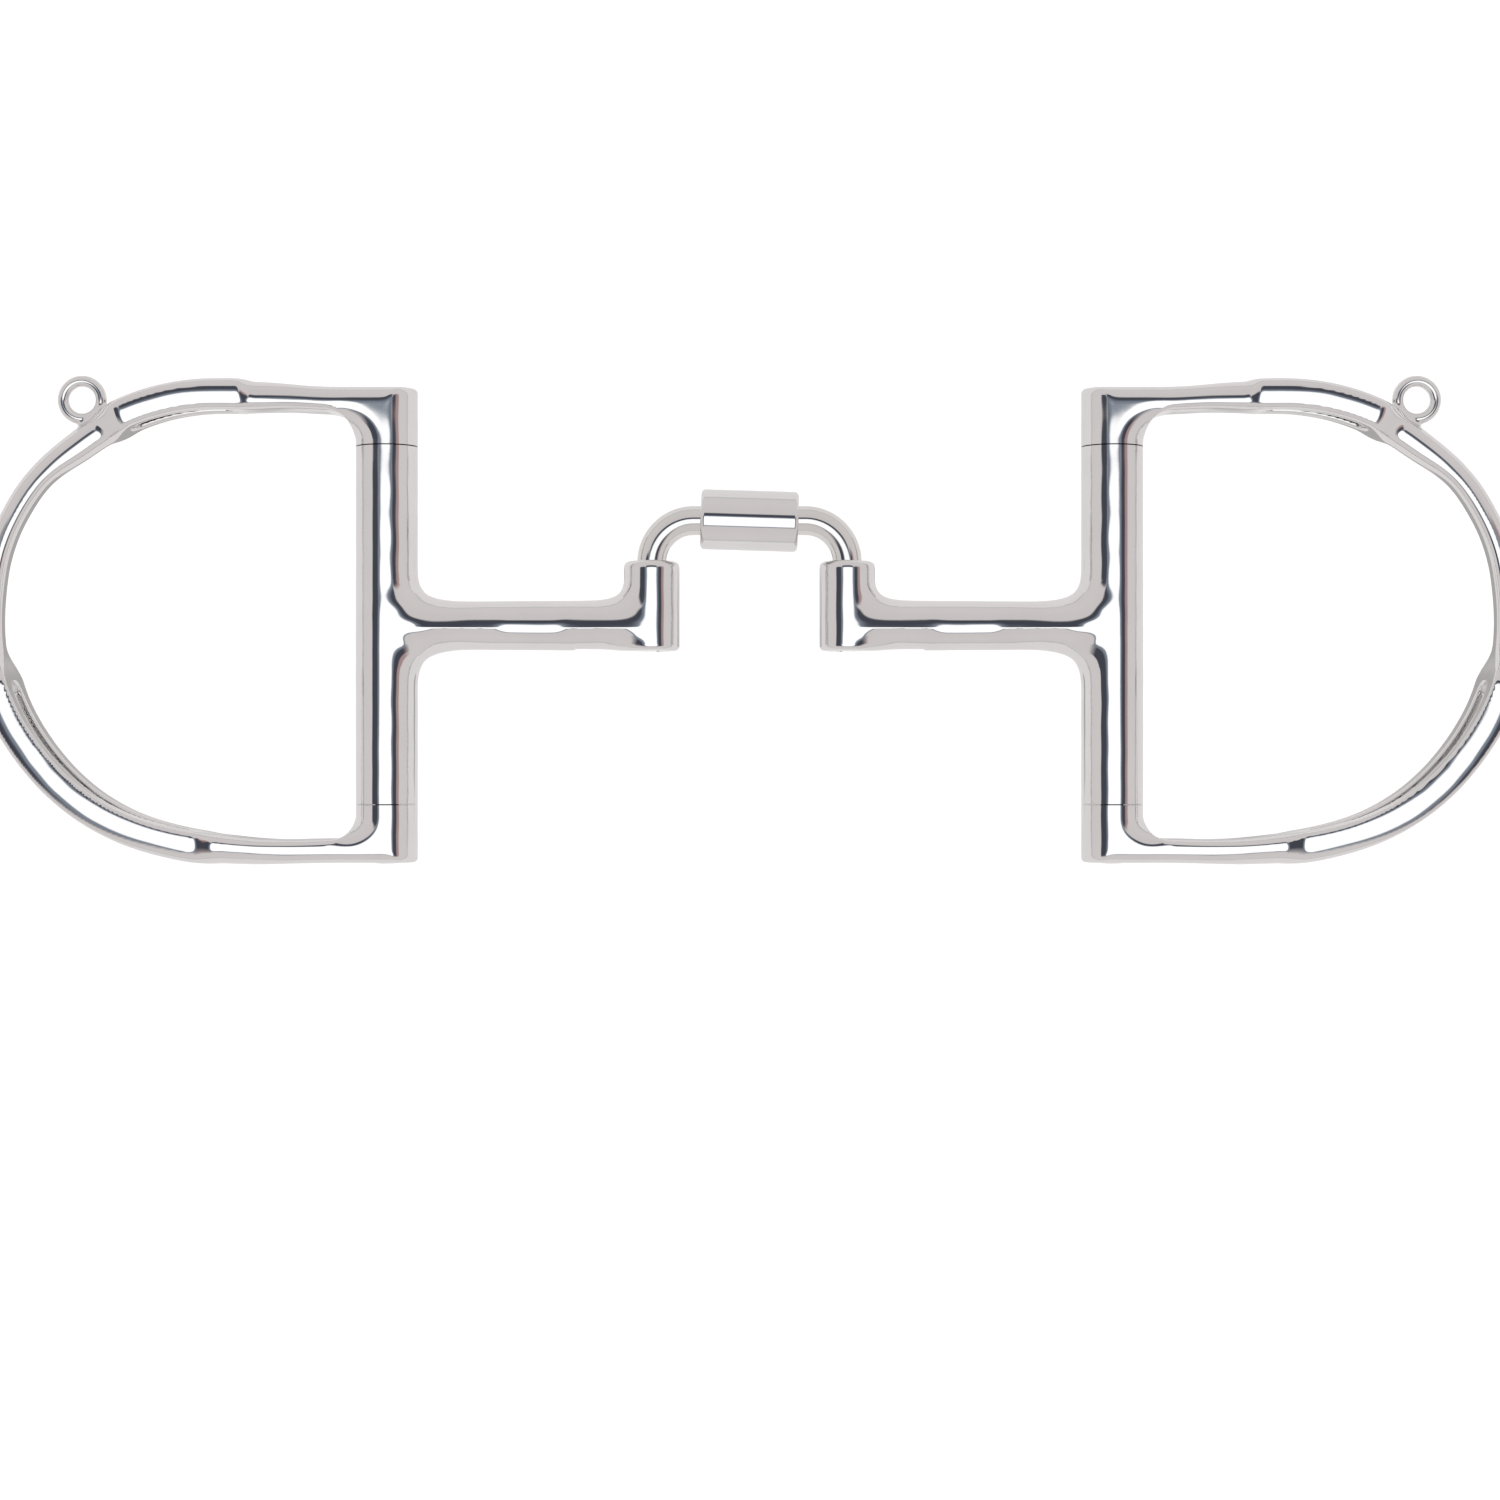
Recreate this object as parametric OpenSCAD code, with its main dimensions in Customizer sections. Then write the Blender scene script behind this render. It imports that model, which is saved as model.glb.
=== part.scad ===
// Dee-ring bit: two slotted D rings hinged on full-length cheek barrels, two mouth arms with upright
// sockets, and a U-shaped port rod that turns in the sockets and carries a loose roller.
// The bit lies flat: X along the mouthpiece, Y towards the poll, Z up. Lengths are millimetres.

/* [Mouthpiece] */
// Width of the mouth, between the inner faces of the two cheek barrels
mouth_w = 127; // [114:1:152]
// Diameter of a mouth arm where it leaves the cheek barrel
arm_cheek_d = 9.1; // [8:0.1:10.6]
// Diameter of a mouth arm where it meets its socket
arm_socket_d = 9.8; // [8:0.1:10.6]
// Radius of the blends between an arm and its barrel
arm_blend = 5; // [2:0.5:8]

/* [Cheek barrels] */
// Outer diameter of the cheek barrels and of the rings' knuckles
barrel_d = 11.8; // [11:0.1:14]
// Length of a cheek barrel
barrel_len = 68.2; // [60:0.2:80]
// Running gap between each end of a barrel and the ring's knuckle
seam_gap = 0.25; // [0.15:0.05:0.5]
// Diameter of the hinge pin
pin_d = 4.5; // [3.5:0.1:6]
// Radial clearance of the pin in the barrel
pin_fit = 0.08; // [0.03:0.01:0.1]
// Radial clearance of the pin in the knuckles that hold it
pin_seat = 0.02; // [0.01:0.01:0.04]

/* [Port] */
// Distance between the axes of the two port legs
port_w = 37.4; // [34:0.2:46]
// Height of the crossbar's axis above the arms' axis
port_rise = 20.1; // [19:0.1:32]
// Diameter of the port rod
rod_d = 5.6; // [4.8:0.1:6.2]
// Radius of the rod's bends, at its centre line
bend_r = 8; // [6:0.2:9]
// Radial clearance of a leg in its socket
leg_fit = 0.1; // [0.04:0.01:0.1]

/* [Sockets] */
// Outer diameter of the sockets
socket_d = 10.7; // [10.2:0.1:13]
// Height of a socket's mouth above the arms' axis
socket_rise = 12.3; // [8:0.1:12.6]
// Depth of a socket's foot below the arms' axis
socket_drop = 4.8; // [4.4:0.1:7]
// Radius of the step from an arm's top up to its socket
socket_blend = 3.5; // [1.5:0.5:5]
// Rounding of the rim round a socket's mouth
socket_rim = 1.2; // [0.3:0.1:1.5]
// Rounding of the rim round a socket's foot
foot_rim = 0.9; // [0.3:0.1:1]
// Diameter of the counterbore in a socket's foot
counterbore_d = 8.2; // [7.8:0.1:8.6]

/* [Leg ends] */
// Diameter of the tenon that a leg's riveted head is formed from
tenon_d = 4.2; // [3.5:0.1:4.6]
// Diameter of the riveted head
head_d = 6.8; // [5.8:0.1:7.4]
// Thickness of the riveted head
head_t = 1; // [0.7:0.1:1.2]
// Thickness of the retaining washer
washer_t = 0.8; // [0.5:0.1:1.2]
// Axial play between a socket and its washer
leg_play = 0.15; // [0.1:0.05:0.3]
// Thickness of the plug that closes a socket
plug_t = 1.2; // [0.8:0.1:1.6]

/* [Roller] */
// Outer diameter of the roller
roller_d = 11.5; // [9:0.1:14]
// Length of the roller
roller_len = 18.6; // [14:0.2:19.4]
// Radial clearance of the roller on the rod
roller_fit = 0.3; // [0.15:0.05:0.4]
// Rounding of the roller's rims
roller_rim = 0.7; // [0.3:0.1:1]

/* [Rings] */
// Length of each knuckle of a ring
knuckle_len = 11.1; // [9:0.1:14]
// Rounding of a knuckle's outer rim
knuckle_rim = 1.1; // [0.5:0.1:1.5]
// How far a bar's outer face lies below the knuckle's end
bar_inset = 0.2; // [0.1:0.1:0.6]
// Thickness of the plain bow, in the ring's plane
ring_t = 5.1; // [4.4:0.1:6.4]
// Depth of the plain bow, across the ring's plane
ring_depth = 5.8; // [5:0.1:7.5]
// Thickness of the bars beside the knuckles, in the ring's plane
bar_t = 4.5; // [4:0.1:5.5]
// Depth of the upper bar where it leaves its slot
upper_bar_depth = 10; // [8:0.1:11]
// Depth of the lower bar where it leaves its slot
lower_bar_depth = 11.2; // [8:0.1:11.4]
// Outer radius of the bow
bow_r = 46.3; // [44:0.1:52]
// Distance from the hinge axis to the bow's centre
bow_offset = 32.2; // [28:0.2:40]
// Height of the bow's centre above the arms' axis
bow_lift = 0.6; // [0:0.1:1.5]
// Radius of the blend under the upper knuckle
upper_corner_r = 5.5; // [3:0.5:8]
// Radius of the blend over the lower knuckle
lower_corner_r = 4; // [3:0.5:8]

/* [Strap slots] */
// Thickness of a ring along its slots, in the ring's plane
slot_t = 5.9; // [5.2:0.1:7]
// Angle from the bow's top at which the upper slot starts
upper_from = -4; // [-6:1:2]
// Angle from the bow's top at which the upper slot ends
upper_to = 24; // [18:1:26]
// Width of the upper slot
upper_gap = 4.6; // [4.2:0.1:6]
// Thickness of each rail beside the upper slot
upper_rail = 3.5; // [2.5:0.1:4.5]
// Angle from the bow's top at which the lower slot starts
lower_from = 106; // [96:1:120]
// Angle from the bow's top at which the lower slot ends
lower_to = 173; // [160:1:176]
// Width of the lower slot
lower_gap = 5.6; // [4.2:0.1:7]
// Thickness of each rail beside the lower slot
lower_rail = 4.5; // [3:0.1:5.5]
// Angle over which a ring widens to its slots
ramp = 8; // [6:1:10]

/* [Curb loops] */
// Angle from the bow's top at which the curb loop stands
loop_at = 31.5; // [30:0.5:50]
// Diameter of the curb loop's eye
eye_d = 5.1; // [4.2:0.1:7]
// Width of the curb loop's wire in the ring's plane
loop_wire = 2.15; // [1.6:0.05:3]
// Thickness of the curb loop, across the ring's plane
loop_t = 2.1; // [1.6:0.1:3]
// Thickness of metal between the eye and the ring
loop_foot = 1.1; // [0.8:0.1:2]

/* [Hidden] */

$fn = 96;
eps = 0.01;
// How far a bar's end stays inside the surface of the knuckle it enters
surface_step = 0.15;
steel = [0.80, 0.79, 0.78];
pin_steel = [0.62, 0.62, 0.64];

// Places along X, from the middle of the mouth outwards
leg_x = port_w / 2;
hinge_x = mouth_w / 2 + barrel_d / 2;
bow_x = hinge_x + bow_offset;

// Places along Y, from the arms' axis towards the knuckles
knuckle_in = barrel_len / 2 + seam_gap;
knuckle_out = knuckle_in + knuckle_len;
bar_out = knuckle_out - bar_inset;
bow_top = bow_lift + bow_r;
bow_bottom = bow_lift - bow_r;
bend_y = port_rise - bend_r;

// Inside a socket, from its foot upwards: plug, riveted head, washer, counterbore floor
foot_y = -socket_drop;
head_gap = 0.2;
head_y = foot_y + plug_t + head_gap;
washer_y = head_y + head_t;
shoulder_y = washer_y + washer_t;
counterbore_y = shoulder_y + leg_play;

// The curb loop's eye, counted from the bow's centre and from the arms' axis
loop_od = eye_d + 2 * loop_wire;
eye_r = bow_r + loop_foot + eye_d / 2;
eye_y = bow_lift + eye_r * cos(loop_at);

// The origin is below the middle of the whole bit
upper_depth = upper_gap + 2 * upper_rail;
lower_depth = lower_gap + 2 * lower_rail;
rest_z = max(upper_depth, lower_depth, barrel_d, roller_d) / 2;
y_high = max(bow_top, knuckle_out, eye_y + loop_od / 2);
y_low = min(bow_bottom, -knuckle_out);
y_mid = (y_high + y_low) / 2;

// Puts a piece that is drawn round the arms' axis into the bit's own frame
module lay_flat() translate([0, -y_mid, rest_z]) children();
module right_side() lay_flat() children();
module left_side() lay_flat() mirror([1, 0, 0]) children();
// Turns a solid drawn along Z so that it stands along Y
module along_y() rotate([-90, 0, 0]) children();
// Turns a solid drawn along Z so that it lies along X
module along_x() rotate([0, 90, 0]) children();

// ---- The ring's bow and bars: one band whose section widens at the strap slots ----

function ease(u) = let (c = min(1, max(0, u))) c * c * (3 - 2 * c);
function between(a, from, to) = min(1, max(0, (a - from) / (to - from)));
// 1 along a slot, 0 on the plain ring, and a straight ramp between
function widening(a, from, to) = min(between(a, from - ramp, from), 1 - between(a, to, to + ramp));
function at_upper(a) = widening(a, upper_from, upper_to);
function at_lower(a) = widening(a, lower_from, lower_to);
function toward_knuckle(a) = a < 0 ? between(-a, 0, bar_angle) : between(a, 180, 180 + bar_angle);
function plain_depth(a) =
    a < upper_to ? upper_bar_depth + (knuckle_depth - upper_bar_depth) * toward_knuckle(a)
    : a > lower_from ? lower_bar_depth + (knuckle_depth - lower_bar_depth) * toward_knuckle(a)
    : ring_depth;
function band_depth(a) = let (plain = plain_depth(a))
    plain + (upper_depth - plain) * at_upper(a) + (lower_depth - plain) * at_lower(a);
function band_t(a) = let (plain = ring_t + (bar_t - ring_t) * toward_knuckle(a))
    plain + (slot_t - plain) * (at_upper(a) + at_lower(a));

// Angles from the bow's top: the bars count on past 0 and 180 degrees, up to the hinge axis
bar_angle = atan(bow_offset / bow_r);
knuckle_depth = barrel_d - 2 * surface_step;
bar_rise = 22;
plain_step = 5;
function bar_y(from_bow, bow_y, y_bar) = bow_y + (y_bar - bow_y) * ease(from_bow / bar_rise);
function outer_point(a) =
    a < 0 ? [bow_x + bow_r * tan(a), bar_y(-a, bow_top, bar_out)]
    : a > 180 ? [bow_x - bow_r * tan(a - 180), bar_y(a - 180, bow_bottom, -bar_out)]
    : [bow_x + bow_r * sin(a), bow_lift + bow_r * cos(a)];
function outward(a) = let (b = min(180, max(0, a))) [sin(b), cos(b)];

// Station angles: both ends of every ramp, and even steps between them
corners = [-bar_angle, upper_from - ramp, upper_from, upper_to, upper_to + ramp,
    lower_from - ramp, lower_from, lower_to, lower_to + ramp, 180 + bar_angle];
function steps(from, to) = max(1, ceil((to - from) / plain_step));
stations = [
    for (i = [0 : len(corners) - 2], n = [steps(corners[i], corners[i + 1])], k = [0 : n - 1])
        corners[i] + (corners[i + 1] - corners[i]) * k / n,
    corners[len(corners) - 1]
];

// A section is a rounded box: nearly an oval on the plain ring, squarer along the slots
section_points = 16;
oval_power = 2.4;
slot_power = 4;
function rounded(c, power) = sign(c) * pow(abs(c), 2 / power);
function section(a) =
    let (p = outer_point(a), n = outward(a), t = band_t(a), d = band_depth(a),
        power = oval_power + (slot_power - oval_power) * (at_upper(a) + at_lower(a)))
    [for (k = [0 : section_points - 1], q = [360 * k / section_points])
        let (inward = t / 2 * (1 - rounded(cos(q), power)), z = d / 2 * rounded(sin(q), power))
        [p[0] - n[0] * inward, p[1] - n[1] * inward, z]];

module band() {
    m = section_points;
    last = len(stations) - 1;
    points = [for (a = stations) each section(a)];
    sides = [
        for (i = [0 : last - 1], k = [0 : m - 1])
            let (a = i * m + k, b = i * m + (k + 1) % m)
            each [[a, b + m, b], [a, a + m, b + m]]
    ];
    first_end = [for (k = [0 : m - 1]) k];
    last_end = [for (k = [m - 1 : -1 : 0]) last * m + k];
    polyhedron(points, concat(sides, [first_end, last_end]));
}

// A strap slot: a curved slit with round ends, cut from the inside of the bow to the outside
module slot(from, to, gap) {
    wall = 2 * slot_t;
    end_angle = asin(gap / 2 / (bow_r - slot_t));
    translate([bow_x, bow_lift, 0]) {
        rotate([0, 0, 90 - to + end_angle]) rotate_extrude(angle = to - from - 2 * end_angle)
            translate([bow_r - wall + slot_t / 2, -gap / 2]) square([wall, gap]);
        for (a = [from + end_angle, to - end_angle])
            rotate([0, 0, 90 - a]) translate([bow_r - wall + slot_t / 2, 0, 0])
                along_x() cylinder(d = gap, h = wall);
    }
}

// A turned solid's half section with a round outer rim, for rotate_extrude
module rimmed(radius, length, rim) {
    square([radius, length - rim]);
    square([radius - rim, length]);
    translate([radius - rim, length - rim]) circle(r = rim);
}

module knuckle() {
    translate([hinge_x, knuckle_in, 0]) along_y() rotate_extrude() intersection() {
        rimmed(barrel_d / 2, knuckle_len, knuckle_rim);
        square([barrel_d, 2 * knuckle_len]);
    }
}

// A concave blend in the corner between a wall at x = 0 and a ceiling at y = 0
module corner_blend(radius, depth, root) {
    linear_extrude(height = depth, center = true) difference() {
        translate([-root, -radius]) square([root + radius, radius + root]);
        translate([radius, -radius]) circle(r = radius);
    }
}

module ring_casting() {
    corner_x = hinge_x + barrel_d / 2;
    bar_in = bar_out - bar_t;
    root = bar_t / 4;
    difference() {
        union() {
            band();
            knuckle();
            mirror([0, 1, 0]) knuckle();
            translate([corner_x, bar_in, 0]) corner_blend(upper_corner_r, upper_bar_depth * 0.8, root);
            mirror([0, 1, 0]) translate([corner_x, bar_in, 0])
                corner_blend(lower_corner_r, lower_bar_depth * 0.8, root);
        }
        slot(upper_from, upper_to, upper_gap);
        slot(lower_from, lower_to, lower_gap);
        pin_hole();
    }
}

// The pin is driven in from below and stops inside the upper knuckle
pin_cover = 1.5;
pin_top = knuckle_out - pin_cover;
module pin_hole() {
    translate([hinge_x, -knuckle_out - 1, 0]) along_y()
        cylinder(d = pin_d + 2 * pin_seat, h = knuckle_out + 1 + pin_top);
}

module cheek_pin() {
    translate([hinge_x, -knuckle_out, 0]) along_y()
        cylinder(d = pin_d, h = knuckle_out + pin_top - pin_seat);
}

// ---- The curb loop: a round eye on a short foot that is welded to the bow ----

module curb_loop() {
    rim = loop_t / 4;
    foot_w = loop_od * 0.8;
    translate([bow_x, bow_lift, 0]) rotate([0, 0, -loop_at]) difference() {
        union() {
            translate([0, eye_r, 0]) {
                rotate_extrude() rimmed(loop_od / 2, loop_t / 2, rim);
                mirror([0, 0, 1]) rotate_extrude() rimmed(loop_od / 2, loop_t / 2, rim);
            }
            linear_extrude(height = loop_t, center = true) polygon([
                [-foot_w / 2, bow_r - rim], [foot_w / 2, bow_r - rim],
                [loop_od * 0.3, bow_r + loop_foot + rim], [-loop_od * 0.3, bow_r + loop_foot + rim],
            ]);
        }
        cylinder(r = bow_r, h = 2 * loop_t, center = true);
        translate([0, eye_r, 0]) cylinder(d = eye_d, h = 2 * loop_t, center = true);
    }
}

// ---- The mouth arm: cheek barrel, arm and socket, cast in one ----

module arm_casting() {
    barrel_in = hinge_x - barrel_d / 2;
    web = min(arm_cheek_d, arm_socket_d) * 0.7;
    socket_top = arm_socket_d / 2;
    difference() {
        union() {
            translate([hinge_x, 0, 0]) along_y() cylinder(d = barrel_d, h = barrel_len, center = true);
            translate([leg_x, 0, 0]) along_x()
                cylinder(d1 = arm_socket_d, d2 = arm_cheek_d, h = hinge_x - leg_x);
            for (up = [0, 1]) mirror([0, up, 0]) translate([barrel_in, -arm_cheek_d / 2, 0])
                mirror([1, 0, 0]) corner_blend(arm_blend, web, 1);
            translate([leg_x + socket_d / 2, socket_top, 0]) mirror([0, 1, 0])
                corner_blend(socket_blend, web, 1);
            translate([leg_x, 0, 0]) {
                along_y() rotate_extrude() rimmed(socket_d / 2, socket_rise, socket_rim);
                mirror([0, 1, 0]) along_y() rotate_extrude() rimmed(socket_d / 2, socket_drop, foot_rim);
            }
        }
        translate([hinge_x, 0, 0]) along_y() cylinder(d = pin_d + 2 * pin_fit, h = barrel_len + 2, center = true);
        translate([leg_x, foot_y - 1, 0]) along_y() {
            cylinder(d = rod_d + 2 * leg_fit, h = socket_rise - foot_y + 2);
            cylinder(d = counterbore_d, h = counterbore_y - foot_y + 1);
        }
    }
}

module socket_plug() {
    translate([leg_x, foot_y, 0]) along_y() cylinder(d = counterbore_d - 2 * pin_seat, h = plug_t);
}

module leg_washer() {
    translate([leg_x, washer_y, 0]) along_y() difference() {
        cylinder(d = counterbore_d - 4 * leg_fit, h = washer_t);
        translate([0, 0, -1]) cylinder(d = tenon_d + 2 * pin_seat, h = washer_t + 2);
    }
}

// ---- The port rod: crossbar, two bends and two legs with riveted ends ----

module port() {
    bend_x = leg_x - bend_r;
    along_x() translate([0, port_rise, 0]) cylinder(d = rod_d, h = 2 * bend_x, center = true);
    for (side = [0, 1]) mirror([side, 0, 0]) {
        translate([bend_x, bend_y, 0]) rotate_extrude(angle = 90) translate([bend_r, 0]) circle(d = rod_d);
        translate([leg_x, 0, 0]) {
            translate([0, shoulder_y, 0]) along_y() cylinder(d = rod_d, h = bend_y - shoulder_y);
            translate([0, head_y, 0]) along_y() {
                cylinder(d = tenon_d, h = shoulder_y - head_y + eps);
                cylinder(d1 = head_d * 0.8, d2 = head_d, h = head_t);
            }
        }
    }
}

module roller_tube() {
    bore_r = rod_d / 2 + roller_fit;
    translate([0, port_rise, 0]) along_x() difference() {
        for (end = [0, 1]) mirror([0, 0, end]) rotate_extrude() rimmed(roller_d / 2, roller_len / 2, roller_rim);
        cylinder(r = bore_r, h = roller_len + 2, center = true);
    }
}

// ---- One module for each piece ----

module left_ring() color(steel) left_side() ring_casting();
module right_ring() color(steel) right_side() ring_casting();
module left_cheek_pin() color(pin_steel) left_side() cheek_pin();
module right_cheek_pin() color(pin_steel) right_side() cheek_pin();
module left_curb_loop() color(steel) left_side() curb_loop();
module right_curb_loop() color(steel) right_side() curb_loop();
module left_arm() color(steel) left_side() arm_casting();
module right_arm() color(steel) right_side() arm_casting();
module left_socket_plug() color(steel) left_side() socket_plug();
module right_socket_plug() color(steel) right_side() socket_plug();
module left_leg_washer() color(pin_steel) left_side() leg_washer();
module right_leg_washer() color(pin_steel) right_side() leg_washer();
module port_rod() color(steel) lay_flat() port();
module roller() color(steel) lay_flat() roller_tube();

left_ring();
left_cheek_pin();
left_curb_loop();
left_arm();
left_socket_plug();
left_leg_washer();
port_rod();
roller();
right_leg_washer();
right_socket_plug();
right_arm();
right_curb_loop();
right_cheek_pin();
right_ring();
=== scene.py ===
# %% [markdown]
# # A dee-ring bit in polished steel
# A bit is the metal part of a bridle that lies in the horse's mouth. This one has two D-shaped
# rings with strap slots, a small curb loop on each ring, and a mouthpiece of two arms that hinge
# on a raised port with a loose roller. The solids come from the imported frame, which also says
# how every body moves. Blender adds what a mirror polish needs: soft blends between the forms,
# crisp edges where pieces meet, and a studio for the steel to reflect.

# %% Load the frame and measure it
import math
import bpy
import numpy as np
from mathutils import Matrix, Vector


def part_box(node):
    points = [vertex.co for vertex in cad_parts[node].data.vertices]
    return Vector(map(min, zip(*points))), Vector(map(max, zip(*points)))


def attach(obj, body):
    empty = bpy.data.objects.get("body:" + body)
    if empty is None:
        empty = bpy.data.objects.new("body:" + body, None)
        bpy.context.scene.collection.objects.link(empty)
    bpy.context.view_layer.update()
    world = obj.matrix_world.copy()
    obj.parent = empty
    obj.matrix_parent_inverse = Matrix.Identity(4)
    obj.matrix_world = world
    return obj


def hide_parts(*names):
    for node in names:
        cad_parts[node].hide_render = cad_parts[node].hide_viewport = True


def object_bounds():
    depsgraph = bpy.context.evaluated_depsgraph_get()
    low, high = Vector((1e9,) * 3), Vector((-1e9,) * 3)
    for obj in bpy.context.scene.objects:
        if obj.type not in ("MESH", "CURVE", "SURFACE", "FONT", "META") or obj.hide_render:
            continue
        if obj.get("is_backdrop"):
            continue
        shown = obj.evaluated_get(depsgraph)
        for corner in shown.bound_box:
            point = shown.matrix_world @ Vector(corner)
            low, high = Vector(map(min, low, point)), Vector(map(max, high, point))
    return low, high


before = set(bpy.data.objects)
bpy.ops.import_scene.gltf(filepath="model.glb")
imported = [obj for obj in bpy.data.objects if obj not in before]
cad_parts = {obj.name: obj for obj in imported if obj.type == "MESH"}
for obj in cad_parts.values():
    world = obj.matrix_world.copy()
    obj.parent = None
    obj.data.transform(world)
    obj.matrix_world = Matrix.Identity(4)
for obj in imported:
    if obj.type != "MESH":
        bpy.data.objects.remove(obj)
cad_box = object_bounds()
# Sizes here are in millimetres, and Blender's are in metres
MM = 0.001


def span(node):
    """A CAD node's lowest corner, highest corner and middle, in millimetres."""
    low, high = (np.array(corner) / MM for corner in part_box(node))
    return low, high, (low + high) / 2


roller_low, roller_high, roller_mid = span("roller")
arm_low, arm_high, arm_mid = span("right_arm")
pin_low, pin_high, pin_mid = span("right_cheek_pin")
plug_low, plug_high, plug_mid = span("right_socket_plug")
ring_low, ring_high = span("right_ring")[:2]
loop_low, loop_high = span("right_curb_loop")[:2]
rod_mid = span("port_rod")[2]
# The arms' axis runs along X at this height and depth, halfway up the cheek barrels
axis_y, axis_z = arm_mid[1], rod_mid[2]
print("whole bit, mm:", [round((high - low) / MM, 1) for low, high in zip(*cad_box)])

# %% [markdown]
# ## Where the camera stands
# The bit lies flat and the camera looks straight down on it, from a little below the arms. It
# stands close enough to show some of the rings' inner walls, and the frame cuts both rings at
# their outermost edge. A lens is easiest to set from a distance and the width in view there. The
# Standard view shows colours as they are written, so white stays white.

# %% Camera
FRAME_WIDTH = 287.1
CAMERA_HEIGHT = 536.0
CAMERA_DOWN, CAMERA_ASIDE = 23.8, 0.1

camera = bpy.data.objects.new("camera", bpy.data.cameras.new("camera"))
bpy.context.scene.collection.objects.link(camera)
camera.location = Vector((CAMERA_ASIDE, axis_y - CAMERA_DOWN, axis_z + CAMERA_HEIGHT)) * MM
camera.data.lens = camera.data.sensor_width * CAMERA_HEIGHT / FRAME_WIDTH
camera.data.clip_end = 10
bpy.context.scene.camera = camera
bpy.context.scene.view_settings.view_transform = "Standard"
print("lens, mm:", round(camera.data.lens, 1))

# %% [markdown]
# ## Metal as a field
# Cast and polished steel has no loose edges: an arm flows into its barrel through a fillet, and a
# mirror finish shows every facet of a coarse mesh. So each casting is described by a signed
# distance field, a formula that is negative in the metal and positive outside it. A union that
# rounds its inner corner makes a fillet, and the same trick on the outside makes a rounded rim. A
# power a little over 2 lets a fillet run into its faces more gently than a circle's arc would.
# UNCUT is a value so deep in the metal that a field which has it cuts nothing there, and NOT_ZERO
# keeps a division safe.

# %% Field helpers
FILLET_POWER = 2.3
UNCUT, NOT_ZERO = -9, 0.01


def length(a, b):
    """The length of a vector with those two components."""
    return np.sqrt(a * a + b * b)


def joined(a, b, fillet):
    """Both solids as one, with a concave fillet of about that radius between them."""
    near = np.maximum(1 - a / fillet, 0) ** FILLET_POWER + np.maximum(1 - b / fillet, 0) ** FILLET_POWER
    return np.maximum(fillet, np.minimum(a, b)) - fillet * near ** (1 / FILLET_POWER)


def kept(a, b, rim):
    """What lies in both solids, with the edge between them rounded to that radius."""
    return -joined(-a, -b, rim)


def capsule(along, across, half_length, radius):
    """A slit or bar with round ends, of that half length over all."""
    return length(np.maximum(np.abs(along) - half_length + radius, 0), across) - radius


def ramp(value, start, end):
    """0 before start, 1 after end, and an eased rise between."""
    u = np.clip((value - start) / (end - start), 0, 1)
    return u * u * u * (10 - 15 * u + 6 * u * u)


def crossing(a, b, reach):
    """The smaller of two distances, with a rounded change from one to the other."""
    near = np.maximum(reach - np.abs(a - b), 0) / reach
    return np.minimum(a, b) - near ** 3 * reach / 6


# %% [markdown]
# ## From field to mesh
# Dual contouring turns a field into a mesh. A grid is laid over the field, and each grid edge that
# crosses the surface gets a crossing point and the surface's direction there. Each cell that is
# crossed gets one vertex, where its crossings' tangent planes meet, so sharp edges stay sharp. Each
# crossed grid edge gets one quad between its four cells. A solid may be several fields at once,
# and it is what lies in all of them, with crisp edges between them. The grid reaches a cell or two
# beyond the box, and where a surface is nearly flat a weak pull to the middle of the crossings
# keeps a vertex steady.

# %% Dual contouring
BEFORE_BOX, AFTER_BOX = 1.3, 2.3
STEADY = 0.02
CORNERS = [(i, j, k) for i in (0, 1) for j in (0, 1) for k in (0, 1)]
EDGES = [(a, b) for a in CORNERS for b in CORNERS if a < b and np.abs(np.subtract(a, b)).sum() == 1]


def slopes(fields, points, step=0.01):
    """Each field's unit direction of growth at the points: fields by points by 3."""
    columns = []
    for axis in range(3):
        shift = np.zeros(3)
        shift[axis] = step
        columns.append(np.array(fields(*(points + shift).T)) - np.array(fields(*(points - shift).T)))
    grown = np.stack(columns, -1)
    size = np.linalg.norm(grown, axis=-1, keepdims=True)
    return grown / np.maximum(size, 1e-9)


def outermost(fields, points):
    """At each point, the value of the field that bounds the solid there, and its direction."""
    values, directions = np.array(fields(*points.T)), slopes(fields, points)
    which = values.argmax(0), np.arange(len(points))
    return values[which], directions[which]


def quads_between(inside, number, size):
    """One quad for each grid edge that crosses the surface, between the edge's four cells."""
    quads = []
    for axis in range(3):
        u, v = (axis + 1) % 3, (axis + 2) % 3
        first, second = (np.take(inside, np.arange(o, o + size[axis]), axis) for o in (0, 1))
        for leaving in (True, False):
            at = np.argwhere((first == leaving) & (second != leaving))
            around = []
            for du, dv in ((-1, -1), (0, -1), (0, 0), (-1, 0)):
                beside = at.copy()
                beside[:, u] += du
                beside[:, v] += dv
                around.append(number[tuple(beside.T)])
            around = np.stack(around, 1)
            quads.append(around if leaving else around[:, ::-1])
    return np.concatenate(quads)


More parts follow.
